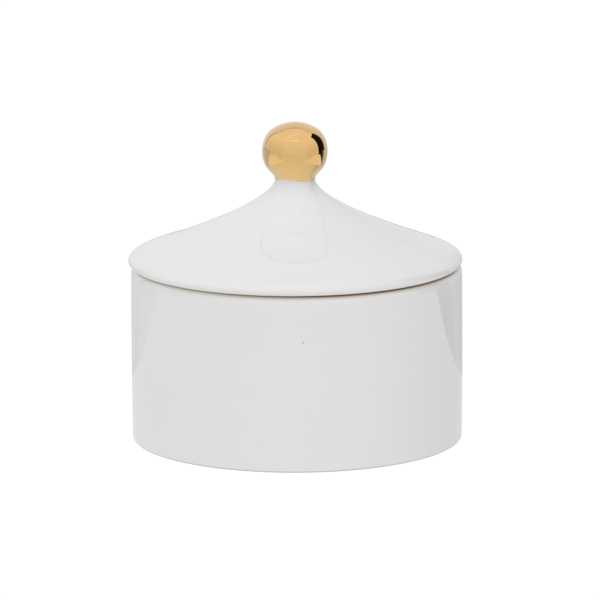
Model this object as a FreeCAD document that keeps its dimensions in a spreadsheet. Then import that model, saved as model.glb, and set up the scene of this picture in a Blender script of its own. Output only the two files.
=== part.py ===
import FreeCAD, Part

import os

import Sketcher

# A round porcelain vanity jar: a straight-sided pot and a tent-shaped lid that lifts off,
# with a ball knob luted on the lid's neck and a soft sealing ring on the lid's locating flange.
# Millimetres, +Z up, origin on the table in the middle of the pot.

# ---------------------------------------------------------------- driving dimensions

DIMENSIONS = [
    # the pot
    ("pot_radius", 50.0, "outside of the wall at rim and foot"),
    ("pot_belly", 0.15, "how far the wall swells half-way up"),
    ("rim_height", 52.7, "table to rim"),
    ("wall", 3.8, "thickness of the pot's wall"),
    ("base", 4.2, "thickness of the pot's floor, recess included"),
    ("floor_corner", 5.0, "inside radius between wall and floor"),
    ("rim_outer_round", 2.2, "softened outer edge of the rim"),
    ("rim_inner_round", 0.8, "softened inner edge of the rim"),
    ("foot_round", 0.7, "softened edge that meets the table"),
    ("foot_ring", 5.2, "width of the bare ring that the pot stands on"),
    ("foot_recess", 1.2, "depth of the recess inside the foot ring"),
    ("recess_round", 0.5, "edges of that recess"),
    # the lid
    ("lid_shift", -0.42, "the lid lies this far off the pot's axis, within the flange's play"),
    ("lid_radius", 50.47, "widest part of the lid"),
    ("lid_edge_round", 1.24, "lower half of the lid's edge"),
    ("neck_radius", 6.11, "narrowest part, under the ball"),
    ("neck_rise", 25.8, "lid's underside to the narrowest part"),
    ("shoulder_rise", 3.2, "control point that turns the edge into the slope"),
    ("slope_low_radius", 41.67, "control points of the slope, from the edge inwards"),
    ("slope_low_rise", 5.43, ""),
    ("slope_mid_radius", 23.5, ""),
    ("slope_mid_rise", 13.32, ""),
    ("slope_top_radius", 14.9, ""),
    ("slope_top_rise", 17.34, ""),
    ("neck_lead_rise", 23.54, "control point that turns the slope upright at the neck"),
    ("flange_radius", 44.0, "outside of the locating flange"),
    ("flange_wall", 3.0, "thickness of the flange"),
    ("flange_depth", 7.2, "how far the flange hangs below the lid's underside"),
    ("flange_round", 0.8, "lower edges of the flange"),
    ("hollow_shoulder", 2.0, "height at which the hollow starts to close in"),
    ("hollow_apex", 19.5, "height at which the hollow's cone meets the bore"),
    ("hollow_shoulder_round", 4.0, ""),
    ("throat_round", 8.0, "trumpet where the hollow runs into the neck"),
    ("bore_radius", 2.2, "casting bore through the neck into the ball"),
    # the ball knob
    ("ball_rise", 17.5, "narrowest part to the top of the ball"),
    ("ball_lead_rise", 1.77, "control point that turns the neck into the ball"),
    ("ball_low_radius", 10.17, "control point under the widest part"),
    ("ball_low_rise", 3.16, ""),
    ("ball_high_radius", 10.3, "control point over the widest part"),
    ("ball_high_rise", 15.47, ""),
    ("crown_radius", 2.5, "control point that flattens the crown"),
    ("void_radius", 6.2, "hollow inside the ball"),
    ("void_rise", 8.4, "middle of that hollow above the narrowest part"),
    # the sealing ring
    ("cushion", 0.7, "soft ledge between rim and lid, which sets the gap"),
    ("cushion_radius", 48.0, "outside of that ledge"),
    ("cushion_round", 0.3, ""),
    ("seal_gap", 0.2, "free play between flange and ring"),
    ("seal_wall", 0.8, "thickness of the ring's upright leg"),
    ("seal_depth", 6.4, "length of the upright leg below the rim"),
    ("fin_reach", 0.45, "how far each fin stands out"),
    ("fin_height", 1.2, ""),
    ("fin_pitch", 2.3, "distance between fins, and from the lowest fin to the leg's end"),
    ("groove_depth", 0.9, "groove in the flange that holds the ring's bead"),
    ("groove_height", 1.8, ""),
    ("groove_drop", 4.6, "top of the groove below the lid's underside"),
    ("bead_reach", 0.6, "how far the bead stands in"),
    ("bead_height", 1.2, ""),
]


class Size:
    """A length: its value in millimetres and the sheet formula that drives it."""

    def __init__(self, value, formula):
        self.value = value
        self.formula = formula

    def __add__(self, other):
        return Size(self.value + other.value, f"({self.formula} + {other.formula})")

    def __sub__(self, other):
        return Size(self.value - other.value, f"({self.formula} - {other.formula})")

    def half(self):
        return Size(self.value / 2, f"({self.formula} / 2)")

    def squared_over(self, other):
        return Size(self.value ** 2 / other.value, f"({self.formula} * {self.formula} / {other.formula})")


doc = FreeCAD.newDocument("vanity_jar")
sheet = doc.addObject("Spreadsheet::Sheet", "Sizes")
size = {}
for row, (alias, value, note) in enumerate(DIMENSIONS, start=1):
    sheet.set(f"A{row}", alias)
    sheet.set(f"B{row}", str(value))
    sheet.set(f"C{row}", note)
    sheet.setAlias(f"B{row}", alias)
    size[alias] = Size(value, f"Sizes.{alias}")
doc.recompute()

ZERO = Size(0.0, "0")

# ---------------------------------------------------------------- drawing helpers


def new_body(name, shift=None):
    """A body with its own origin, moved along X by the given size."""
    body = doc.addObject("PartDesign::Body", name)
    body.Label = name
    if shift is not None:
        body.Placement = FreeCAD.Placement(FreeCAD.Vector(shift.value, 0, 0), FreeCAD.Rotation())
        body.setExpression(".Placement.Base.x", shift.formula)
    return body


def point(corner):
    return FreeCAD.Vector(corner[0].value, corner[1].value, 0)


def pin(sketch, geometry, vertex, corner):
    """Fix one vertex at (radius, height), with both distances read from the sheet."""
    origin, origin_point, upright_axis, flat_axis = -1, 1, -2, -1
    for kind, distance, axis in (("DistanceX", corner[0], upright_axis), ("DistanceY", corner[1], flat_axis)):
        if distance is ZERO:
            sketch.addConstraint(Sketcher.Constraint("PointOnObject", geometry, vertex, axis))
            continue
        index = sketch.addConstraint(
            Sketcher.Constraint(kind, origin, origin_point, geometry, vertex, distance.value))
        sketch.setExpression(f"Constraints[{index}]", distance.formula)


class Bow:
    """An arc of a given radius to the next corner, bulging to the right of the way there."""

    def __init__(self, radius):
        self.radius = radius

    def draw(self, sketch, start, end):
        chord = end - start
        half = chord.Length / 2
        sagitta = self.radius.value - max(self.radius.value ** 2 - half ** 2, 0) ** 0.5
        outward = FreeCAD.Vector(chord.y, -chord.x, 0).normalize()
        middle = (start + end) / 2 + outward * sagitta
        index = sketch.addGeometry(Part.Arc(start, middle, end))
        radius = sketch.addConstraint(Sketcher.Constraint("Radius", index, self.radius.value))
        sketch.setExpression(f"Constraints[{radius}]", self.radius.formula)
        return index


class Curve:
    """A smooth curve to the next corner, drawn towards the given control points."""

    def __init__(self, *poles):
        self.poles = poles

    def draw(self, sketch, start, end):
        poles = [start] + [point(pole) for pole in self.poles] + [end]
        degree = 3
        inner_knots = len(poles) - degree - 1
        multiplicities = [degree + 1] + [1] * inner_knots + [degree + 1]
        spline = Part.BSplineCurve()
        spline.buildFromPolesMultsKnots(
            poles, multiplicities, list(range(inner_knots + 2)), False, degree)
        index = sketch.addGeometry(spline)
        sketch.exposeInternalGeometry(index)
        centre = 3
        for offset, pole in enumerate(self.poles, start=2):
            pin(sketch, index + offset, centre, pole)
        return index


class Line:
    """A straight edge to the next corner."""

    def draw(self, sketch, start, end):
        return sketch.addGeometry(Part.LineSegment(start, end))


def section(body, name, *corners):
    """A closed half section in the upright plane: (radius, height) or (radius, height, edge)."""
    plane = [item for item in body.Origin.OriginFeatures if item.Role == "XZ_Plane"][0]
    sketch = body.newObject("Sketcher::SketchObject", name)
    sketch.AttachmentSupport = [(plane, "")]
    sketch.MapMode = "FlatFace"
    drawn = []
    for here, after in zip(corners, corners[1:] + corners[:1]):
        edge = here[2] if len(here) > 2 else Line()
        index = edge.draw(sketch, point(here), point(after))
        first_is_here = sketch.getPoint(index, 1).distanceToPoint(point(here)) < 1e-6
        drawn.append((index, 1, 2) if first_is_here else (index, 2, 1))
    for (edge, _, last), (following, first, _) in zip(drawn, drawn[1:] + drawn[:1]):
        sketch.addConstraint(Sketcher.Constraint("Coincident", edge, last, following, first))
    for (edge, first, _), corner in zip(drawn, corners):
        pin(sketch, edge, first, corner)
    return sketch


def turn(body, kind, name, *corners):
    """Turn a half section through a full circle: a Revolution adds it, a Groove cuts it."""
    sketch = section(body, name + "Section", *corners)
    feature = body.newObject("PartDesign::" + kind, name)
    feature.Profile = sketch
    feature.ReferenceAxis = (sketch, ["V_Axis"])
    feature.Angle = 360
    body.Tip = feature
    doc.recompute()
    return feature


def soften(body, name, radius, *circles):
    """Round the circular edges found at the given (radius, height) places."""
    base = body.Tip
    names = []
    for r, z in circles:
        for number, edge in enumerate(base.Shape.Edges, start=1):
            if not isinstance(edge.Curve, Part.Circle):
                continue
            same_radius = abs(edge.Curve.Radius - r.value) < 0.02
            if same_radius and abs(edge.Curve.Center.z - z.value) < 0.02:
                names.append(f"Edge{number}")
    feature = body.newObject("PartDesign::Fillet", name)
    feature.Base = (base, names)
    feature.Radius = radius.value
    feature.setExpression("Radius", radius.formula)
    body.Tip = feature
    doc.recompute()
    return feature


# ---------------------------------------------------------------- shared levels

rim = size["rim_height"]
underside = rim + size["cushion"]
neck = underside + size["neck_rise"]
crown = neck + size["ball_rise"]

# ---------------------------------------------------------------- the pot


def make_pot():
    """Slip-cast pot: slightly swelling wall, soft rim, bare foot ring round a shallow recess."""
    pot = new_body("jar_body")
    outside = size["pot_radius"]
    inside = outside - size["wall"]
    floor = size["base"]
    recess = outside - size["foot_ring"]
    belly_radius = rim.half().squared_over(size["pot_belly"]).half() + size["pot_belly"].half()

    turn(pot, "Revolution", "Blank",
         (ZERO, ZERO),
         (outside, ZERO, Bow(belly_radius)),
         (outside, rim),
         (ZERO, rim))
    turn(pot, "Groove", "Inside",
         (ZERO, floor),
         (inside, floor),
         (inside, rim),
         (ZERO, rim))
    turn(pot, "Groove", "FootRecess",
         (ZERO, ZERO),
         (recess, ZERO),
         (recess, size["foot_recess"]),
         (ZERO, size["foot_recess"]))
    soften(pot, "RimOuterEdge", size["rim_outer_round"], (outside, rim))
    soften(pot, "RimInnerEdge", size["rim_inner_round"], (inside, rim))
    soften(pot, "FloorCorner", size["floor_corner"], (inside, floor))
    soften(pot, "FootEdge", size["foot_round"], (outside, ZERO))
    soften(pot, "RecessEdges", size["recess_round"], (recess, ZERO), (recess, size["foot_recess"]))
    return pot


# ---------------------------------------------------------------- the lid


def make_lid():
    """Tent-shaped lid: hollow below, with a locating flange and a bore up through the neck."""
    lid = new_body("lid_shell", size["lid_shift"])
    widest = size["lid_radius"]
    edge = size["lid_edge_round"]
    bore = size["bore_radius"]
    flange_out = size["flange_radius"]
    flange_in = flange_out - size["flange_wall"]
    flange_end = underside - size["flange_depth"]
    shoulder = underside + size["hollow_shoulder"]
    apex = underside + size["hollow_apex"]
    groove_top = underside - size["groove_drop"]
    groove_end = groove_top - size["groove_height"]
    groove_bottom = flange_out - size["groove_depth"]
    slope = Curve((widest, underside + size["shoulder_rise"]),
                  (size["slope_low_radius"], underside + size["slope_low_rise"]),
                  (size["slope_mid_radius"], underside + size["slope_mid_rise"]),
                  (size["slope_top_radius"], underside + size["slope_top_rise"]),
                  (size["neck_radius"], underside + size["neck_lead_rise"]))

    turn(lid, "Revolution", "Tent",
         (ZERO, underside),
         (widest - edge, underside, Bow(edge)),
         (widest, underside + edge, slope),
         (size["neck_radius"], neck),
         (ZERO, neck))
    turn(lid, "Revolution", "Flange",
         (flange_in, flange_end),
         (flange_out, flange_end),
         (flange_out, underside),
         (flange_in, underside))
    turn(lid, "Groove", "Hollow",
         (ZERO, flange_end),
         (flange_in, flange_end),
         (flange_in, shoulder),
         (bore, apex),
         (bore, neck),
         (ZERO, neck))
    soften(lid, "HollowShoulder", size["hollow_shoulder_round"], (flange_in, shoulder))
    soften(lid, "Throat", size["throat_round"], (bore, apex))
    soften(lid, "FlangeEdges", size["flange_round"], (flange_in, flange_end), (flange_out, flange_end))
    turn(lid, "Groove", "SealGroove",
         (groove_bottom, groove_end),
         (flange_out + size["groove_depth"], groove_end),
         (flange_out + size["groove_depth"], groove_top),
         (groove_bottom, groove_top))
    return lid


def make_knob():
    """Cast ball, hollow inside and open at its foot, where it is luted to the lid's neck."""
    knob = new_body("ball_knob", size["lid_shift"])
    middle = neck + size["void_rise"]
    ball = Curve((size["neck_radius"], neck + size["ball_lead_rise"]),
                 (size["ball_low_radius"], neck + size["ball_low_rise"]),
                 (size["ball_high_radius"], neck + size["ball_high_rise"]),
                 (size["crown_radius"], crown))

    turn(knob, "Revolution", "Ball",
         (ZERO, neck),
         (size["neck_radius"], neck, ball),
         (ZERO, crown))
    void = knob.newObject("PartDesign::SubtractiveSphere", "Void")
    void.Radius = size["void_radius"].value
    void.setExpression("Radius", size["void_radius"].formula)
    void.Placement = FreeCAD.Placement(FreeCAD.Vector(0, 0, middle.value), FreeCAD.Rotation())
    void.setExpression(".Placement.Base.z", middle.formula)
    knob.Tip = void
    doc.recompute()
    turn(knob, "Groove", "Bore",
         (ZERO, neck),
         (size["bore_radius"], neck),
         (size["bore_radius"], middle),
         (ZERO, middle))
    return knob


# ---------------------------------------------------------------- the sealing ring


def make_seal():
    """Soft ring of L section: a ledge that the lid rests on, and a finned leg round the flange."""
    seal = new_body("lid_seal", size["lid_shift"])
    leg_in = size["flange_radius"] + size["seal_gap"]
    leg_out = leg_in + size["seal_wall"]
    leg_end = rim - size["seal_depth"]
    ledge_out = size["cushion_radius"]
    bead_in = leg_in - size["bead_reach"]
    bead_top = underside - size["groove_drop"] - (size["groove_height"] - size["bead_height"]).half()
    bead_end = bead_top - size["bead_height"]

    turn(seal, "Revolution", "Leg",
         (leg_in, leg_end),
         (leg_out, leg_end),
         (leg_out, underside),
         (leg_in, underside))
    turn(seal, "Revolution", "Ledge",
         (leg_in, rim),
         (ledge_out, rim),
         (ledge_out, underside),
         (leg_in, underside))
    turn(seal, "Revolution", "Bead",
         (bead_in, bead_end),
         (leg_out, bead_end),
         (leg_out, bead_top),
         (bead_in, bead_top))
    fin_end = leg_end + size["fin_pitch"].half()
    for number in (1, 2):
        turn(seal, "Revolution", f"Fin{number}",
             (leg_in, fin_end),
             (leg_out, fin_end),
             (leg_out + size["fin_reach"], fin_end + size["fin_height"]),
             (leg_in, fin_end + size["fin_height"]))
        fin_end = fin_end + size["fin_pitch"]
    soften(seal, "LedgeEdges", size["cushion_round"], (ledge_out, rim), (ledge_out, underside))
    return seal


# ---------------------------------------------------------------- build, check and export

PIECES = [make_pot(), make_lid(), make_knob(), make_seal()]
doc.recompute()

for item in doc.Objects:
    if "Invalid" in item.State or "Error" in item.State:
        raise RuntimeError(f"{item.Name} failed: {item.State}")
for piece in PIECES:
    if piece.Shape.isNull() or not piece.Shape.isValid():
        raise RuntimeError(f"{piece.Label} has no valid shape")

os.makedirs("parts", exist_ok=True)
for piece in PIECES:
    piece.Shape.exportStep(f"parts/{piece.Label}.step")
    box = piece.Shape.BoundBox
    print(f"{piece.Label}: {piece.Shape.Volume / 1000:.2f} cm3, solids {len(piece.Shape.Solids)}, "
          f"x {box.XMin:.2f} to {box.XMax:.2f}, z {box.ZMin:.2f} to {box.ZMax:.2f}")
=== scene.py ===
import math

import bpy
from mathutils import Matrix, Vector, noise


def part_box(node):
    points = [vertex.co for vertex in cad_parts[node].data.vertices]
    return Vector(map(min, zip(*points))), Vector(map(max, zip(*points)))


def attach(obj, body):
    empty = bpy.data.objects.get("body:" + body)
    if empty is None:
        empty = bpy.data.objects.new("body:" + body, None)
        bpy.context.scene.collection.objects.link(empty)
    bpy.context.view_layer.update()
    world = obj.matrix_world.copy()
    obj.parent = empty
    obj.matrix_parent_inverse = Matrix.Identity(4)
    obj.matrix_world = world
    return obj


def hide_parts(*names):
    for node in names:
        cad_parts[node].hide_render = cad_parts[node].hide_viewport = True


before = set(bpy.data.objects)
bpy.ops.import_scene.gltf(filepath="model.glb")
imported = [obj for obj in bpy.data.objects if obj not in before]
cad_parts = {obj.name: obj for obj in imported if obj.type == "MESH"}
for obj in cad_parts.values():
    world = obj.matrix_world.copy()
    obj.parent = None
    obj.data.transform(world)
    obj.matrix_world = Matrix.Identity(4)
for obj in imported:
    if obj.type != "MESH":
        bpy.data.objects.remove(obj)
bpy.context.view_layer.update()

# White porcelain vanity jar with a tent-shaped lid and a gilded ball knob.
# Metres; the CAD frame: +Z up, origin on the table under the middle of the pot, viewer at -Y.

MM = 0.001

scene = bpy.context.scene

# ---------------------------------------------------------------- places from the frame

pot_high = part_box("jar_body")[1]
ball_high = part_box("ball_knob")[1]
lid_low, lid_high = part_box("lid_shell")
seal_low, seal_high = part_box("lid_seal")

LID_AXIS = (lid_low.x + lid_high.x) / 2
RIM = pot_high.z
UNDERSIDE = seal_high.z
CUSHION = UNDERSIDE - RIM
NECK = lid_high.z
CROWN = ball_high.z
FLANGE_END = lid_low.z
SEAL_END = seal_low.z
LID_RADIUS = (lid_high.x - lid_low.x) / 2
LEDGE_RADIUS = (seal_high.x - seal_low.x) / 2

# The fired rim stands a little above its CAD height, and most at the left.
RIM_RISE = 0.31 * MM
HIGH_RIM = 0.28 * MM
HIGH_SIDE = math.radians(-50)

# ---------------------------------------------------------------- camera


def make_camera():
    """Long lens, looking down a little, slightly rolled, with the jar a touch left of the middle."""
    pitch = math.radians(11.82)
    distance = 1.875
    target = Vector((0.96 * MM, 0, 41.96 * MM))
    data = bpy.data.cameras.new("camera")
    data.sensor_width = 36
    data.lens = 371.6
    camera = bpy.data.objects.new("camera", data)
    scene.collection.objects.link(camera)
    camera.location = target + distance * Vector((0, -math.cos(pitch), math.sin(pitch)))
    upright = Matrix.Rotation(math.pi / 2 - pitch, 4, "X")
    roll = Matrix.Rotation(math.radians(-0.235), 4, "Z")
    camera.rotation_euler = (upright @ roll).to_euler()
    scene.camera = camera


make_camera()

# ---------------------------------------------------------------- outline helpers


def rounded(corners, steps=8):
    """Points of a closed outline from corners (radius, height, rounding)."""
    points = []
    count = len(corners)
    for number, (x, z, rounding) in enumerate(corners):
        here = Vector((x, z))
        if rounding == 0:
            points.append(here)
            continue
        before = (Vector(corners[number - 1][:2]) - here).normalized()
        after = (Vector(corners[(number + 1) % count][:2]) - here).normalized()
        half = before.angle(after) / 2
        centre = here + (before + after).normalized() * (rounding / math.sin(half))
        start = here + before * (rounding / math.tan(half)) - centre
        end = here + after * (rounding / math.tan(half)) - centre
        turn = start.angle_signed(end)
        for step in range(steps + 1):
            angle = -turn * step / steps
            points.append(centre + Matrix.Rotation(angle, 2) @ start)
    return points


def curve(poles, steps):
    """Points of a smooth cubic curve that starts and ends at its outer control points."""
    degree = 3
    spans = len(poles) - degree
    knots = [0] * degree + list(range(spans + 1)) + [spans] * degree
    points = []
    for step in range(steps + 1):
        u = spans * step / steps
        span = min(int(u), spans - 1) + degree
        local = [Vector(poles[span - degree + k]) for k in range(degree + 1)]
        for level in range(1, degree + 1):
            for k in range(degree, level - 1, -1):
                left = knots[span - degree + k]
                right = knots[span + 1 + k - level]
                share = (u - left) / (right - left)
                local[k] = local[k - 1].lerp(local[k], share)
        points.append(local[degree])
    return points


def dense(points, spacing):
    """The same closed outline with its long straight stretches divided."""
    out = []
    for here, after in zip(points, points[1:] + points[:1]):
        pieces = max(1, math.ceil((after - here).length / spacing))
        out += [here.lerp(after, k / pieces) for k in range(pieces)]
    return out


def outward(outline):
    """The direction that faces away from the clay at each point of a closed outline."""
    following = outline[1:] + outline[:1]
    area = sum(here.x * after.y - after.x * here.y for here, after in zip(outline, following))
    side = math.copysign(1, area)
    directions = []
    for before, after in zip(outline[-1:] + outline[:-1], following):
        along = after - before
        directions.append(side * Vector((along.y, -along.x)).normalized())
    return directions


def smooth(low, high, value):
    """Eases from 0 at low to 1 at high."""
    share = min(max((value - low) / (high - low), 0), 1)
    return share * share * (3 - 2 * share)


def around(radius, height, angle, axis=0.0):
    """A point at that radius and height; angle 0 faces the viewer and grows to the right."""
    return Vector((axis + radius * math.sin(angle), -radius * math.cos(angle), height))


def flat(spot):
    """A surface with no unevenness of its own."""
    return 0.0


def lathe(name, outline, turns, place, slots, relief=flat):
    """Turns a closed outline round the axis.

    place(point, angle) gives each vertex, slots(point) the material of the faces that start there,
    and relief(spot) how far the surface stands off its outline at a spot in space.
    """
    vertices, rings = [], []
    for point, away in zip(outline, outward(outline)):
        if point.x < 1e-7:
            rings.append([len(vertices)] * turns)
            vertices.append(place(point, 0))
            continue
        rings.append(list(range(len(vertices), len(vertices) + turns)))
        for k in range(turns):
            angle = 2 * math.pi * k / turns
            shifted = point + away * relief(around(point.x, point.y, angle))
            vertices.append(place(shifted, angle))
    faces, face_slots = [], []
    for number, ring in enumerate(rings):
        following = rings[(number + 1) % len(rings)]
        if ring[0] == ring[1] and following[0] == following[1]:
            continue
        for k in range(turns):
            n = (k + 1) % turns
            corners = [ring[k], ring[n], following[n], following[k]]
            faces.append(list(dict.fromkeys(corners)))
            face_slots.append(slots(outline[number]))
    mesh = bpy.data.meshes.new(name)
    mesh.from_pydata(vertices, [], faces)
    mesh.polygons.foreach_set("material_index", face_slots)
    mesh.polygons.foreach_set("use_smooth", [True] * len(faces))
    mesh.validate()
    mesh.update()
    piece = bpy.data.objects.new(name, mesh)
    scene.collection.objects.link(piece)
    return piece


def finished(piece, body, node, slot, *materials):
    """Gives a piece its materials and puts it in the place of its CAD node."""
    for material in materials:
        piece.data.materials.append(material)
    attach(piece, body)
    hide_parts(node)


# ---------------------------------------------------------------- materials


class Finish:
    """A node material under construction, painted in the piece's own coordinates."""

    def __init__(self, name):
        self.material = bpy.data.materials.new(name)
        self.material.use_nodes = True
        self.nodes = self.material.node_tree.nodes
        self.links = self.material.node_tree.links
        self.shader = self.nodes["Principled BSDF"]

    def set(self, **values):
        """Numbers that are the same all over the surface, on the shader's own sockets."""
        for name, value in values.items():
            self.shader.inputs[name.replace("_", " ")].default_value = value

    def feed(self, source, socket):
        """Connects a node's output to one of the shader's sockets."""
        self.links.new(source, self.shader.inputs[socket])

    def place(self, stretch=(1, 1, 1), shift=(0, 0, 0)):
        """Position on the piece in metres, with each axis stretched, then shifted."""
        coordinates = self.nodes.new("ShaderNodeTexCoord")
        mapping = self.nodes.new("ShaderNodeMapping")
        mapping.inputs["Scale"].default_value = stretch
        mapping.inputs["Location"].default_value = shift
        self.links.new(coordinates.outputs["Object"], mapping.inputs["Vector"])
        return mapping.outputs["Vector"]

    def clouds(self, grain, detail=2, stretch=(1, 1, 1)):
        """Smooth noise between 0 and 1 whose patches are about the given size."""
        texture = self.nodes.new("ShaderNodeTexNoise")
        texture.inputs["Scale"].default_value = 1 / grain
        texture.inputs["Detail"].default_value = detail
        self.links.new(self.place(stretch), texture.inputs["Vector"])
        return texture.outputs["Fac"]

    def dots(self, spacing, radius):
        """1 inside scattered small dots, 0 elsewhere."""
        texture = self.nodes.new("ShaderNodeTexVoronoi")
        texture.inputs["Scale"].default_value = 1 / spacing
        self.links.new(self.place(), texture.inputs["Vector"])
        return self.level(texture.outputs["Distance"], 0.6 * radius / spacing, radius / spacing, 1, 0)

    def spot(self, centre, radius):
        """1 inside one dot at a given place, 0 elsewhere."""
        away = self.nodes.new("ShaderNodeVectorMath")
        away.operation = "DISTANCE"
        away.inputs[1].default_value = centre
        self.links.new(self.place(), away.inputs[0])
        return self.level(away.outputs["Value"], 0.6 * radius, radius, 1, 0)

    def height(self):
        """Height above the table in metres, at rest."""
        split = self.nodes.new("ShaderNodeSeparateXYZ")
        self.links.new(self.place(), split.inputs["Vector"])
        return split.outputs["Z"]

    def across(self):
        """Distance to the right of the middle in metres."""
        split = self.nodes.new("ShaderNodeSeparateXYZ")
        self.links.new(self.place(), split.inputs["Vector"])
        return split.outputs["X"]

    def radius(self, axis=0.0):
        """Distance in metres from an upright axis."""
        length = self.nodes.new("ShaderNodeVectorMath")
        length.operation = "LENGTH"
        self.links.new(self.place((1, 1, 0), (-axis, 0, 0)), length.inputs[0])
        return length.outputs["Value"]

    def facing(self, angle):
        """1 in the given direction from the upright middle, 0 at right angles to it, -1 behind."""
        direction = self.nodes.new("ShaderNodeVectorMath")
        direction.operation = "NORMALIZE"
        self.links.new(self.place((1, 1, 0)), direction.inputs[0])
        product = self.nodes.new("ShaderNodeVectorMath")
        product.operation = "DOT_PRODUCT"
        product.inputs[1].default_value = around(1, 0, angle)
        self.links.new(direction.outputs["Vector"], product.inputs[0])
        return product.outputs["Value"]

    def level(self, source, low, high, at_low, at_high):
        """Stretches a value so that low gives at_low and high gives at_high, and no more."""
        change = self.nodes.new("ShaderNodeMapRange")
        for name, value in zip(("From Min", "From Max", "To Min", "To Max"), (low, high, at_low, at_high)):
            change.inputs[name].default_value = value
        self.links.new(source, change.inputs["Value"])
        return change.outputs["Result"]

    def math(self, operation, first, second):
        """One sum on two values, either of which may be a plain number."""
        node = self.nodes.new("ShaderNodeMath")
        node.operation = operation
        for socket, value in zip(node.inputs, (first, second)):
            if isinstance(value, (int, float)):
                socket.default_value = value
            else:
                self.links.new(value, socket)
        return node.outputs["Value"]

    def mix(self, share, first, second):
        """Two colours blended; each is a colour or another node's output."""
        node = self.nodes.new("ShaderNodeMix")
        node.data_type = "RGBA"
        self.links.new(share, node.inputs["Factor"])
        for socket, colour in zip((node.inputs[6], node.inputs[7]), (first, second)):
            if isinstance(colour, tuple):
                socket.default_value = (*colour, 1)
            else:
                self.links.new(colour, socket)
        return node.outputs[2]

    def bump(self, source, height, under=None):
        """Tilts the surface as if it stood up by the given height where the source is 1."""
        node = self.nodes.new("ShaderNodeBump")
        node.inputs["Distance"].default_value = height
        self.links.new(source, node.inputs["Height"])
        if under is not None:
            self.links.new(under, node.inputs["Normal"])
        return node.outputs["Normal"]


# Specks of iron under the glaze: angle in degrees, radius, height and size in millimetres.
SPECKS = [
    (2.6, 50.1, 39.6, 0.32),
    (10.6, 13.7, 71.9, 0.16),
    (31.8, 21.8, 67.6, 0.14),
    (-10.0, 40.4, 59.8, 0.15),
    (-41.0, 50.1, 31.0, 0.16),
    (38.0, 50.1, 21.5, 0.15),
]


def glaze_material():
    """Clear glossy glaze over white clay: faint clouds, iron specks, pinholes and an orange-peel skin.

    Where the lid and the pot meet, the clay is wiped bare and has fired to a warm tan, which also serves as
    painted shade in the gap between them. On the rim this is a band along its crest, which narrows towards
    the rim's high side, where the painted shade is thinner.
    """
    finish = Finish("white_glaze")
    crest_band = 0.25 * MM
    band_edge = 0.10 * MM
    band_narrows = 1.3
    seat_depth = 0.15 * MM
    speck_strength = 0.6
    white = (0.860, 0.860, 0.855)
    thick = (0.845, 0.847, 0.845)
    # Warm tan of the bare seats; it also paints the shade in the gap between lid and pot.
    flash = (0.58, 0.415, 0.265)
    iron = (0.16, 0.12, 0.09)
    body = finish.mix(finish.clouds(14 * MM, 3), white, thick)
    # The band narrows on the rim's high side, so the painted shade of the gap is thinner there.
    raised = finish.math("POWER", finish.math("MAXIMUM", finish.facing(HIGH_SIDE), 0), 3)
    lift = finish.math("MULTIPLY", raised, band_narrows * HIGH_RIM)
    band_low = RIM + RIM_RISE - crest_band
    unlifted = finish.math("SUBTRACT", finish.height(), lift)
    above = finish.level(unlifted, band_low, band_low + band_edge, 0, 1)
    below = finish.level(finish.height(), UNDERSIDE, UNDERSIDE + seat_depth, 1, 0)
    outer = finish.level(finish.radius(), 44.2 * MM, 44.8 * MM, 0, 1)
    # Tan band on the rim's crest and the lid's seat: bare clay, and painted shade of the gap between lid
    # and pot.
    seat_tan_and_gap_shade = finish.math("MULTIPLY", finish.math("MINIMUM", above, below), outer)
    body = finish.mix(seat_tan_and_gap_shade, body, flash)
    specks = finish.dots(11 * MM, 0.18 * MM)
    for angle, radius, height, size in SPECKS:
        centre = around(radius * MM, height * MM, math.radians(angle), LID_AXIS)
        specks = finish.math("MAXIMUM", specks, finish.spot(centre, size * MM))
    finish.feed(finish.mix(finish.math("MULTIPLY", specks, speck_strength), body, iron), "Base Color")
    handled = finish.level(finish.clouds(22 * MM, 4), 0.35, 0.70, 0.012, 0.030)
    finish.feed(finish.math("ADD", handled, finish.math("MULTIPLY", specks, 0.2)), "Roughness")
    peel = finish.bump(finish.clouds(2.4 * MM, 1), 0.003 * MM)
    pits = finish.bump(finish.dots(5 * MM, 0.14 * MM), -0.03 * MM, peel)
    finish.feed(pits, "Normal")
    return finish.material


def gold_material():
    """Fired gold lustre: mirror-bright, with brush bands, a dark edge and pits, and paler round the neck as
    a painted reflection of the white lid below.
    """
    finish = Finish("gold_lustre")
    finish.set(Metallic=1, Coat_Weight=1, Coat_Roughness=0.02)
    full = (0.885, 0.560, 0.210)
    lean = (0.865, 0.530, 0.185)
    painted_lid_reflection = (0.975, 0.630, 0.240)
    edge = (0.85, 0.48, 0.14)
    worn = (0.30, 0.20, 0.13)
    bands = finish.clouds(5 * MM, 3, (1, 1, 5))
    body = finish.mix(bands, full, lean)
    # Paler gold low on the ball near the neck: painted reflection of the white lid.
    body = finish.mix(finish.level(finish.height(), NECK + 2 * MM, NECK + 6.5 * MM, 1, 0), body, painted_lid_reflection)
    ragged = finish.math("ADD", finish.height(), finish.math("MULTIPLY", finish.clouds(1.5 * MM), 1.2 * MM))
    near_edge = finish.level(ragged, NECK + 0.6 * MM, NECK + 1.5 * MM, 0.8, 0)
    body = finish.mix(near_edge, body, edge)
    pits = finish.dots(3 * MM, 0.12 * MM)
    finish.feed(finish.mix(finish.math("MULTIPLY", pits, 0.5), body, worn), "Base Color")
    polish = finish.level(finish.clouds(9 * MM, 4), 0.3, 0.7, 0.015, 0.045)
    dull = finish.math("ADD", polish, finish.math("MULTIPLY", near_edge, 0.06))
    finish.feed(finish.math("ADD", dull, finish.math("MULTIPLY", pits, 0.25)), "Roughness")
    brushed = finish.bump(finish.clouds(1.6 * MM, 2, (1, 1, 4)), 0.0012 * MM)
    finish.feed(finish.bump(pits, -0.02 * MM, brushed), "Normal")
    return finish.material


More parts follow.
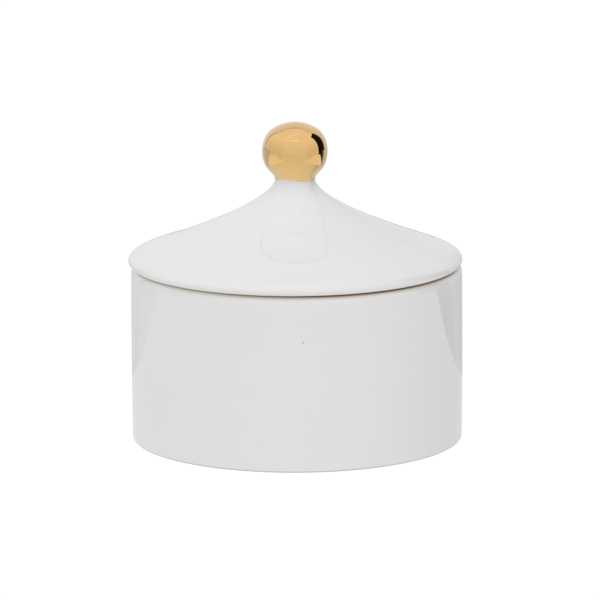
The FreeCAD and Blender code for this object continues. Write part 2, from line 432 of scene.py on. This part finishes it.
def silicone_material():
    """Tan silicone with a satin, slightly dusty skin and fine moulding grain."""
    finish = Finish("seal_silicone")
    tan = (0.215, 0.120, 0.055)
    dark = (0.130, 0.068, 0.032)
    dust = (0.36, 0.29, 0.21)
    body = finish.mix(finish.clouds(6 * MM, 4), tan, dark)
    dusty = finish.level(finish.clouds(0.8 * MM, 3), 0.55, 0.85, 0, 0.35)
    finish.feed(finish.mix(dusty, body, dust), "Base Color")
    finish.feed(finish.level(finish.clouds(3 * MM, 3), 0.3, 0.7, 0.40, 0.58), "Roughness")
    finish.feed(finish.bump(finish.clouds(0.35 * MM, 2), 0.012 * MM), "Normal")
    return finish.material


def bare_material(name, middle, half_width, axis):
    """Unglazed porcelain of a ring: fine sandy grain, with a warm line where the glaze stops."""
    finish = Finish(name)
    clay = (0.80, 0.785, 0.75)
    shade = (0.72, 0.695, 0.65)
    flash = (0.62, 0.46, 0.32)
    body = finish.mix(finish.clouds(3 * MM, 4), clay, shade)
    off_middle = finish.math("ABSOLUTE", finish.math("SUBTRACT", finish.radius(axis), middle), 0)
    ragged = finish.math("ADD", off_middle, finish.math("MULTIPLY", finish.clouds(1.2 * MM), 0.5 * MM))
    line = finish.level(ragged, half_width - 0.25 * MM, half_width + 0.25 * MM, 0, 0.55)
    finish.feed(finish.mix(line, body, flash), "Base Color")
    finish.feed(finish.level(finish.clouds(0.5 * MM, 2), 0.3, 0.7, 0.70, 0.90), "Roughness")
    finish.feed(finish.bump(finish.clouds(0.22 * MM, 3), 0.03 * MM), "Normal")
    return finish.material


# ---------------------------------------------------------------- how the clay and its glaze vary


def glaze_waves(spot):
    """Slow unevenness of turned clay under its glaze."""
    slow = noise.noise(spot / (20 * MM))
    quick = noise.noise(spot / (7 * MM) + Vector((7, 3, 5)))
    return MM * (0.045 * slow + 0.010 * quick)


def rim_lift(angle):
    """How far the fired rim stands above its CAD height."""
    return RIM_RISE + HIGH_RIM * max(0, math.cos(angle - HIGH_SIDE)) ** 3


def one_slot(point):
    """Every face of the piece has its first material."""
    return 0


glaze = glaze_material()
gold = gold_material()
silicone = silicone_material()

# ---------------------------------------------------------------- the pot

POT_RADIUS = 50.0 * MM
POT_BELLY = 0.15 * MM
WALL = 3.8 * MM
FLOOR_TOP = 4.2 * MM
RECESS_RADIUS = 44.8 * MM
RECESS_HEIGHT = 1.2 * MM
RECESS_ROUND = 0.5 * MM
FOOT_ROUND = 0.7 * MM
RIM_OUTER_ROUND = 2.2 * MM
RIM_INNER_ROUND = 0.8 * MM
FLOOR_CORNER = 5.0 * MM
LARGE_TURNS = 320


def pot_relief(spot):
    """The pot's unevenness, which fades out at its foot and where the lid sits."""
    share = smooth(0.4 * MM, 4 * MM, spot.z) * (1 - smooth(RIM - 3 * MM, RIM - MM, spot.z))
    return share * glaze_waves(spot)


def make_pot():
    """The pot: recess, foot ring, wall, rim and inside."""
    inner = POT_RADIUS - WALL
    corners = [
        (0, RECESS_HEIGHT, 0),
        (RECESS_RADIUS, RECESS_HEIGHT, RECESS_ROUND),
        (RECESS_RADIUS, 0, RECESS_ROUND),
        (POT_RADIUS, 0, FOOT_ROUND),
        (POT_RADIUS, RIM, RIM_OUTER_ROUND),
        (inner, RIM, RIM_INNER_ROUND),
        (inner, FLOOR_TOP, FLOOR_CORNER),
        (0, FLOOR_TOP, 0),
    ]
    outline = dense(rounded(corners), 1.2 * MM)

    def place(point, angle):
        swell = 0
        if point.x > POT_RADIUS - 3 * MM:
            swell = POT_BELLY * (1 - (2 * point.y / RIM - 1) ** 2)
        lift = rim_lift(angle) * smooth(RIM - 4 * MM, RIM - 0.5 * MM, point.y)
        return around(point.x + swell, point.y + lift, angle)

    def slots(point):
        bare = point.y < 0.35 * MM
        return 1 if bare else 0

    pot = lathe("pot", outline, LARGE_TURNS, place, slots, pot_relief)
    foot = bare_material("bare_foot", (RECESS_RADIUS + POT_RADIUS) / 2, 2.1 * MM, 0)
    finished(pot, "jar", "jar_body", "white_glaze", glaze, foot)


# ---------------------------------------------------------------- the lid and its gilded ball

LID_EDGE = 1.24 * MM
NECK_RADIUS = 6.11 * MM
FLANGE_RADIUS = 44.0 * MM
FLANGE_WALL = 3.0 * MM
FLANGE_ROUND = 0.8 * MM
GROOVE_DEPTH = 0.9 * MM
GROOVE_DROP = 4.6 * MM
GROOVE_HEIGHT = 1.8 * MM
GROOVE_ROUND = 0.1 * MM
HOLLOW_APEX = 19.5 * MM
HOLLOW_SHOULDER = 2.0 * MM
HOLLOW_SHOULDER_ROUND = 4.0 * MM
THROAT_ROUND = 8.0 * MM
BORE_RADIUS = 2.2 * MM
BALL_TURNS = 224
GILDING = NECK + 0.30 * MM

SLOPE = curve([
    (LID_RADIUS, UNDERSIDE + LID_EDGE),
    (LID_RADIUS, UNDERSIDE + 3.20 * MM),
    (41.67 * MM, UNDERSIDE + 5.43 * MM),
    (23.50 * MM, UNDERSIDE + 13.32 * MM),
    (14.90 * MM, UNDERSIDE + 17.34 * MM),
    (NECK_RADIUS, UNDERSIDE + 23.54 * MM),
    (NECK_RADIUS, NECK)], 120)
BALL = curve([
    (NECK_RADIUS, NECK),
    (NECK_RADIUS, NECK + 1.77 * MM),
    (10.17 * MM, NECK + 3.16 * MM),
    (10.30 * MM, NECK + 15.47 * MM),
    (2.50 * MM, CROWN),
    (0, CROWN)], 80)
SILHOUETTE = SLOPE + BALL[1:]


def silhouette_radius(height):
    """Outside radius of the lid or its ball at a height above the lid's edge."""
    for low, high in zip(SILHOUETTE, SILHOUETTE[1:]):
        if low.y <= height <= high.y:
            share = (height - low.y) / max(high.y - low.y, 1e-9)
            return low.x + share * (high.x - low.x)
    return 0.0


def gilding_wobble(angle):
    """How far the brushed edge of the gilding stands above its mean height."""
    broad = 0.31 * math.cos(angle + math.radians(68))
    middle = 0.07 * math.cos(2 * angle + math.radians(41))
    short = 0.18 * math.cos(4 * angle + math.radians(56))
    return MM * (broad + middle + short)


def slope_lean(point):
    """The slope stands a little to the right of the lid's edge, and more so further from the neck."""
    raised = smooth(UNDERSIDE + MM, UNDERSIDE + 4 * MM, point.y)
    inside_edge = 1 - smooth(41 * MM, 45 * MM, point.x)
    return 0.014 * max(0, point.x - 10 * MM) * raised * inside_edge


def place_on_lid(point, angle):
    """Lid and ball vertices: near the neck, their common edge follows the brushed line."""
    below = smooth(GILDING - 4 * MM, GILDING, point.y)
    above = 1 - smooth(GILDING, GILDING + 3 * MM, point.y)
    share = min(below, above)
    height = point.y + share * gilding_wobble(angle)
    radius = point.x
    outside = abs(point.x - silhouette_radius(point.y)) < 0.002 * MM
    if share > 0 and outside:
        radius = silhouette_radius(height)
    return around(radius, height, angle, LID_AXIS + slope_lean(point))


def lid_relief(spot):
    """The lid's thicker, uneven slope, which meets the true outline at its seat and below the gilding."""
    share = smooth(UNDERSIDE + 0.5 * MM, UNDERSIDE + 4 * MM, spot.z)
    share *= 1 - smooth(GILDING - 8 * MM, GILDING - 4.5 * MM, spot.z)
    return share * (0.03 * MM + glaze_waves(spot))


def ball_relief(spot):
    """The ball is trued more finely than the slope."""
    return 0.25 * smooth(GILDING + 3.2 * MM, GILDING + 6 * MM, spot.z) * glaze_waves(spot)


def make_lid():
    """The lid: flange with its groove, round edge, slope up to the gilding, bore and hollow."""
    inner = FLANGE_RADIUS - FLANGE_WALL
    groove = FLANGE_RADIUS - GROOVE_DEPTH
    groove_top = UNDERSIDE - GROOVE_DROP
    groove_end = groove_top - GROOVE_HEIGHT
    slope = [(p.x, p.y, 0) for p in SLOPE if p.y < GILDING]
    slope.append((silhouette_radius(GILDING), GILDING, 0))
    slope.pop(0)
    edge = []
    edge_steps = 10
    for step in range(edge_steps + 1):
        turn = math.radians(90 * step / edge_steps)
        radius = LID_RADIUS - LID_EDGE * (1 - math.sin(turn))
        edge.append((radius, UNDERSIDE + LID_EDGE * (1 - math.cos(turn)), 0))
    corners = [
        (inner, FLANGE_END, FLANGE_ROUND),
        (FLANGE_RADIUS, FLANGE_END, FLANGE_ROUND),
        (FLANGE_RADIUS, groove_end, GROOVE_ROUND),
        (groove, groove_end, GROOVE_ROUND),
        (groove, groove_top, GROOVE_ROUND),
        (FLANGE_RADIUS, groove_top, GROOVE_ROUND),
        (FLANGE_RADIUS, UNDERSIDE, 0),
        *edge,
        *slope,
        (BORE_RADIUS, GILDING, 0),
        (BORE_RADIUS, UNDERSIDE + HOLLOW_APEX, THROAT_ROUND),
        (inner, UNDERSIDE + HOLLOW_SHOULDER, HOLLOW_SHOULDER_ROUND),
    ]
    outline = dense(rounded(corners), 1.0 * MM)

    def slots(point):
        bare = point.y < FLANGE_END + 0.3 * MM
        return 1 if bare else 0

    lid = lathe("lid", outline, LARGE_TURNS, place_on_lid, slots, lid_relief)
    middle = FLANGE_RADIUS - FLANGE_WALL / 2
    end = bare_material("bare_flange", middle, 1.1 * MM, LID_AXIS)
    finished(lid, "lid", "lid_shell", "white_glaze", glaze, end)


def make_ball():
    """The hollow gilded ball and the gilded top of the neck."""
    void_radius = 6.2 * MM
    void_middle = NECK + 8.4 * MM
    mouth = math.asin(BORE_RADIUS / void_radius)
    start = (silhouette_radius(GILDING), GILDING)
    outside = [start] + [tuple(p) for p in BALL if p.y > GILDING]
    void = []
    steps = 24
    for step in range(steps + 1):
        angle = (math.pi - mouth) * step / steps
        void.append((void_radius * math.sin(angle), void_middle + void_radius * math.cos(angle)))
    outline = [Vector(p) for p in outside + void + [(BORE_RADIUS, GILDING)]]
    outline = dense(outline, 0.4 * MM)
    ball = lathe("gilded_ball", outline, BALL_TURNS, place_on_lid, one_slot, ball_relief)
    finished(ball, "lid", "ball_knob", "gold_lustre", gold)
    # Kept out of reflections and bounced light, so that the white slope under it stays neutral.
    ball.visible_glossy = False
    ball.visible_diffuse = False


# ---------------------------------------------------------------- the sealing ring

SEAL_GAP = 0.2 * MM
SEAL_WALL = 0.8 * MM
SEAL_TURNS = 288
LEG_ROUND = 0.2 * MM
CREASE_ROUND = 0.1 * MM
LEDGE_ROUND = 0.3 * MM
BEAD_REACH = 0.6 * MM
BEAD_DROP = 4.9 * MM
BEAD_HEIGHT = 1.2 * MM
BEAD_ROUND = 0.3 * MM
FIN_COUNT = 2
FIN_START = 1.15 * MM
FIN_PITCH = 2.3 * MM
FIN_REACH = 0.45 * MM
FIN_HEIGHT = 1.2 * MM
FIN_TIP = 1.1 * MM
FIN_ROUND = 0.05 * MM


def make_seal():
    """The soft ring: upright leg with fins outside and a bead inside, under a flat ledge."""
    leg_in = FLANGE_RADIUS + SEAL_GAP
    leg_out = leg_in + SEAL_WALL
    bead_in = leg_in - BEAD_REACH
    bead_top = UNDERSIDE - BEAD_DROP
    bead_end = bead_top - BEAD_HEIGHT
    corners = [
        (leg_in, SEAL_END, LEG_ROUND),
        (leg_out, SEAL_END, LEG_ROUND),
    ]
    fin = SEAL_END + FIN_START
    for _ in range(FIN_COUNT):
        corners += [
            (leg_out, fin, CREASE_ROUND),
            (leg_out + FIN_REACH, fin + FIN_TIP, FIN_ROUND),
            (leg_out, fin + FIN_HEIGHT, FIN_ROUND),
        ]
        fin += FIN_PITCH
    corners += [
        (leg_out, RIM, CREASE_ROUND),
        (LEDGE_RADIUS, RIM, LEDGE_ROUND),
        (LEDGE_RADIUS, UNDERSIDE, LEDGE_ROUND),
        (leg_in, UNDERSIDE, 0),
        (leg_in, bead_top, CREASE_ROUND),
        (bead_in, bead_top, BEAD_ROUND),
        (bead_in, bead_end, BEAD_ROUND),
        (leg_in, bead_end, CREASE_ROUND),
    ]
    outline = dense(rounded(corners, 5), 1.0 * MM)

    def place(point, angle):
        under_ledge = smooth(RIM - MM, RIM, point.y) * (UNDERSIDE - point.y) / CUSHION
        lift = rim_lift(angle) * min(under_ledge, 1)
        return around(point.x, point.y + lift, angle, LID_AXIS)

    seal = lathe("seal_ring", outline, SEAL_TURNS, place, one_slot)
    finished(seal, "seal", "lid_seal", "seal_silicone", silicone)


make_pot()
make_lid()
make_ball()
make_seal()

# ---------------------------------------------------------------- studio

TABLE_FRONT = -165 * MM
TABLE_BACK = 80 * MM
TABLE_HALF = 500 * MM
FAR = 6.0
CARD_DISTANCE = 1.0
BACK_DISTANCE = 1.02
SHADE_DISTANCE = 0.9
LAMP_DISTANCE = 0.95
KEY_DISTANCE = 1.2
CARD_CENTRE = Vector((0, 0, 88 * MM))


def glow(name, radiance):
    """A matt surface that shows the same brightness from everywhere."""
    finish = Finish(name)
    finish.set(Base_Color=(0, 0, 0, 1), Specular_IOR_Level=0)
    finish.set(Emission_Color=(1, 1, 1, 1), Emission_Strength=radiance)
    finish.material.cycles.emission_sampling = "NONE"
    return finish.material


def panel(name, rows, material):
    """A surface through rows of points that the camera doesn't see: it only shapes the light."""
    across, up = len(rows[0]), len(rows)
    points = [point for row in rows for point in row]
    faces = []
    for r in range(up - 1):
        for c in range(across - 1):
            first = r * across + c
            faces.append([first, first + 1, first + across + 1, first + across])
    mesh = bpy.data.meshes.new(name)
    mesh.from_pydata(points, [], faces)
    mesh.materials.append(material)
    piece = bpy.data.objects.new(name, mesh)
    scene.collection.objects.link(piece)
    piece.visible_camera = False
    return piece


def ground(name, x_range, y_range, height, material):
    """A level rectangle."""
    rows = [[(x, y, height) for x in x_range] for y in y_range]
    return panel(name, rows, material)


def wedge(name, azimuths, depth_range, height, radiance):
    """Ground between two directions, counted from straight behind or before, and two depths."""
    rows = []
    for depth in depth_range:
        rows.append([(math.tan(math.radians(a)) * abs(depth), depth, height) for a in azimuths])
    return panel(name, rows, glow(name, radiance))


def in_direction(azimuth, elevation, distance=CARD_DISTANCE):
    """A point seen from the ball in that direction, in degrees; azimuth 0 is towards the viewer."""
    reach = distance * math.cos(math.radians(elevation))
    height = distance * math.sin(math.radians(elevation))
    return CARD_CENTRE + around(reach, height, math.radians(azimuth))


def sky_card(name, azimuths, elevations, radiance, distance=CARD_DISTANCE, steps=12):
    """A card bent round the jar between two azimuths and two elevations."""
    rows = []
    for r in range(steps + 1):
        elevation = elevations[0] + (elevations[1] - elevations[0]) * r / steps
        row = []
        for c in range(steps + 1):
            azimuth = azimuths[0] + (azimuths[1] - azimuths[0]) * c / steps
            row.append(in_direction(azimuth, elevation, distance))
        rows.append(row)
    return panel(name, rows, glow(name, radiance))


def make_floor():
    """The white ground that the camera sees. Nothing else sees it, so it has no shadow on it."""
    reach = 4.0
    floor = ground("floor", (-reach, reach), (-reach, reach), 0, glow("floor_white", 1.03))
    floor.visible_camera = True
    floor.visible_glossy = False
    floor.visible_diffuse = False


def make_table():
    """What glaze and gold see of the table: a white strip, and the darker room before and behind."""
    finish = Finish("table")
    finish.set(Base_Color=(0, 0, 0, 1), Specular_IOR_Level=0, Emission_Color=(1, 1, 1, 1))
    sideways = finish.math("ABSOLUTE", finish.across(), 0)
    finish.feed(finish.level(sideways, 0.133, 0.150, 0.81, 0.88), "Emission Strength")
    finish.material.cycles.emission_sampling = "NONE"
    strip = finish.material
    ground("table", (-TABLE_HALF, TABLE_HALF), (TABLE_FRONT, TABLE_BACK), 0.3 * MM, strip)
    ground("front_apron", (-FAR, FAR), (-FAR, TABLE_FRONT), 0.1 * MM, glow("front_apron", 0.73))
    wedge("front_middle", (-44, 44), (-FAR, TABLE_FRONT), 0.3 * MM, 0.79)
    ground("back_apron", (-FAR, FAR), (TABLE_BACK, FAR), 0.1 * MM, glow("back_apron", 0.60))
    wedge("back_left", (-45, 0), (TABLE_BACK, FAR), 0.3 * MM, 0.66)
    wedge("back_seam", (-45.6, -44.9), (TABLE_BACK, 1.5), 0.4 * MM, 0.20)
    wedge("back_edge", (54, 64), (TABLE_BACK, FAR / 4), 0.3 * MM, 0.35)
    wedge("back_gap", (64, 86), (TABLE_BACK, FAR / 4), 0.3 * MM, 0.02)


def make_tent():
    """The walls round the jar: white cloth with an opening at the right and its seams behind."""
    sky_card("tent_opening", (92, 126), (-14, 48), 0.01)
    sky_card("tent_opening_edge", (126, 130), (-14, 46), 0.30)
    sky_card("tent_back_right", (130, 165), (-12, 20), 0.72, BACK_DISTANCE)
    sky_card("tent_back_left", (165, 232), (-12, 20), 0.82, BACK_DISTANCE)
    sky_card("tent_back_high", (129, 225), (20, 54), 0.80, BACK_DISTANCE)
    sky_card("tent_seam_left", (-135, -129), (-20, 46), 0.45)
    sky_card("tent_roof_back", (120, 235), (54, 59), 0.77, BACK_DISTANCE)
    sky_card("tent_seam_back", (160, 200), (50, 50.7), 0.50)
    sky_card("lamp_arm", (168, 192), (55.5, 58.0), 0.60)
    roof_edge = [(-0.43, 0.55), (-0.42, 0.70), (-0.22, 0.790), (0.00, 0.780), (0.10, 0.785), (0.22, 0.850),
                 (0.30, 0.70), (0.44, 0.67)]
    wall_edge = [(-0.64, 0.36), (-0.52, 0.59), (-0.32, 0.625), (0.00, 0.650), (0.11, 0.62), (0.26, 0.70),
                 (0.45, 0.77), (0.78, 0.90)]
    hem("roof_hem", roof_edge, 12 * MM, 0.02)
    hem("wall_hem", wall_edge, 14 * MM, 0.15)


def hem(name, poles, width, radiance):
    """A dark hem across the back of the tent, which sags between its ties."""
    depth = 450 * MM
    line = curve(poles, 40)
    rows = []
    for side in (0, 1):
        rows.append([CARD_CENTRE + Vector((point.x, depth, point.y + side * width)) for point in line])
    panel(name, rows, glow(name, radiance))


def make_lamps():
    """Small bright lamps overhead, which show as dots in the gold: a level row and a loose string."""
    half_width = 0.7
    half_height = 0.4
    string_half = 0.8
    row_elevation = 50.5
    row_radiance = 4.5
    string_radiance = 3.0
    row = (-12.6, -10.8, -8.0, -2.0, 1.2, 3.6, 6.2, 11.8, 13.9)
    for number, azimuth in enumerate(row):
        azimuths = (azimuth - half_width, azimuth + half_width)
        elevations = (row_elevation - half_height, row_elevation + half_height)
        sky_card(f"lamp_{number}", azimuths, elevations, row_radiance, LAMP_DISTANCE, 1)
    string = ((-42, 44.4), (-52, 52), (-59, 69), (-57, 74.6), (-39, 81.7), (41, 85), (-30, 67.6), (-11, 54))
    for number, (azimuth, elevation) in enumerate(string):
        spread = 0.9 / math.cos(math.radians(elevation))
        azimuths = (azimuth - spread, azimuth + spread)
        elevations = (elevation - string_half, elevation + string_half)
        sky_card(f"string_{number}", azimuths, elevations, string_radiance, LAMP_DISTANCE, 1)


def make_key():
    """A large soft lamp overhead that lights the lid a little more than the sides."""
    data = bpy.data.lights.new("key", "AREA")
    data.shape = "DISK"
    data.size = 0.8
    data.energy = 1.85
    key = bpy.data.objects.new("key", data)
    scene.collection.objects.link(key)
    key.location = in_direction(35, 64, KEY_DISTANCE)
    key.rotation_euler = (key.location - CARD_CENTRE).to_track_quat("Z", "Y").to_euler()
    key.visible_glossy = False
    key.visible_camera = False


def make_shade():
    """A grey card at the right that only takes soft light off that side."""
    shade = sky_card("shade", (60, 92), (0, 50), 0.50, SHADE_DISTANCE)
    shade.visible_glossy = False


def make_surroundings():
    """Light from everywhere else: brightest overhead, least bright low down at the sides."""
    world = bpy.data.worlds.new("studio")
    world.use_nodes = True
    scene.world = world
    nodes, links = world.node_tree.nodes, world.node_tree.links
    direction = nodes.new("ShaderNodeTexCoord")
    split = nodes.new("ShaderNodeSeparateXYZ")
    sideways = nodes.new("ShaderNodeMath")
    sideways.operation = "ABSOLUTE"
    low_level = nodes.new("ShaderNodeMapRange")
    low_level.interpolation_type = "SMOOTHSTEP"
    low_level.inputs["From Min"].default_value = 0.45
    low_level.inputs["From Max"].default_value = 0.90
    low_level.inputs["To Min"].default_value = 0.825
    low_level.inputs["To Max"].default_value = 0.735
    level = nodes.new("ShaderNodeMapRange")
    level.interpolation_type = "SMOOTHSTEP"
    level.inputs["From Max"].default_value = 0.72
    level.inputs["To Max"].default_value = 0.92
    links.new(direction.outputs["Generated"], split.inputs["Vector"])
    links.new(split.outputs["X"], sideways.inputs[0])
    links.new(sideways.outputs["Value"], low_level.inputs["Value"])
    links.new(low_level.outputs["Result"], level.inputs["To Min"])
    links.new(split.outputs["Z"], level.inputs["Value"])
    nodes["Background"].inputs["Color"].default_value = (1, 1, 1, 1)
    links.new(level.outputs["Result"], nodes["Background"].inputs["Strength"])


make_floor()
make_table()
make_tent()
make_lamps()
make_key()
make_shade()
make_surroundings()
scene.view_settings.view_transform = "Standard"
